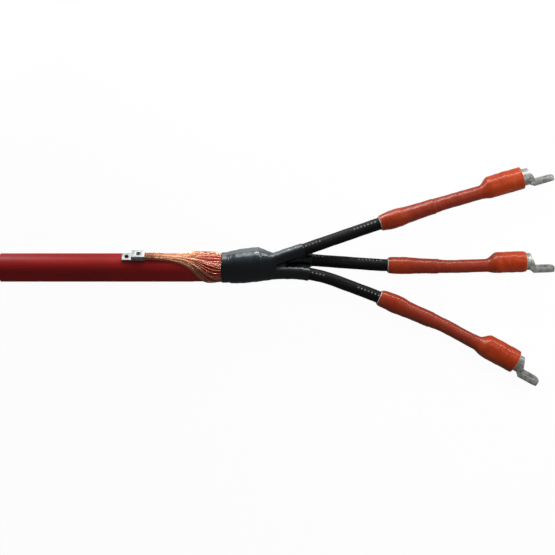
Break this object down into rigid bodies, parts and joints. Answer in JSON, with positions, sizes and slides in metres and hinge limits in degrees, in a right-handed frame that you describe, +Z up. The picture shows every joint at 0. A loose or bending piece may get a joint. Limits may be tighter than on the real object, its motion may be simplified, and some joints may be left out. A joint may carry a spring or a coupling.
{
  "type": "cable termination",
  "caption": "Heat-shrink termination of a screened power cable: red sheath, screen wires drawn to an earth lug, breakout boot, and sleeved cores ending in bolted lugs.",
  "frame": {"origin": "centre of the cable's cut end, on the cable axis", "axes": "+X along the cable from the cut end to the lugs, +Y across the fan of cores to the upper core, +Z up from the floor it lies on"},
  "size_m": [1.0147, 0.4006, 0.0676],
  "materials": {
    "sheath_red": "satin extruded sheath with scuffs",
    "filler_grey": "matt",
    "copper": "bright drawn copper",
    "tin": "tinned, matt silver",
    "earth_tin": "tinned, bright",
    "steel": "dark zinc",
    "boot_black": "gloss moulding, slightly wrinkled",
    "sleeve_black": "satin shrink tube with faint pale marks",
    "tube_red": "satin shrink tube",
    "bead": "sealing mastic",
    "mastic": "soft mastic",
    "insulation": "natural",
    "core_screen": "matt semi-conducting layer",
    "stress_black": "matt"
  },
  "bodies": {
    "root": {"outer_sheath": "sheath_red", "filler": "filler_grey", "screen_wires": "copper", "earth_lug": "earth_tin", "earth_screw": "steel", "breakout_boot": "boot_black", "crotch_mastic": "mastic", "conductor_1": "copper", "conductor_2": "copper", "conductor_3": "copper", "insulation_1": "insulation", "insulation_2": "insulation", "insulation_3": "insulation", "core_screen_1": "core_screen", "core_screen_2": "core_screen", "core_screen_3": "core_screen", "core_sleeve_1": "sleeve_black", "core_sleeve_2": "sleeve_black", "core_sleeve_3": "sleeve_black", "mouth_bead_1": "bead", "mouth_bead_2": "bead", "mouth_bead_3": "bead", "stress_mastic_1": "mastic", "stress_mastic_2": "mastic", "stress_mastic_3": "mastic", "stress_tube_1": "stress_black", "stress_tube_2": "stress_black", "stress_tube_3": "stress_black", "insulating_tube_1": "tube_red", "insulating_tube_2": "tube_red", "insulating_tube_3": "tube_red", "lug_mastic_1": "mastic", "lug_mastic_2": "mastic", "lug_mastic_3": "mastic", "lug_1": "tin", "lug_2": "tin", "lug_3": "tin", "lug_bolts_1": "steel", "lug_bolts_2": "steel", "lug_bolts_3": "steel"}
  },
  "joints": []
}
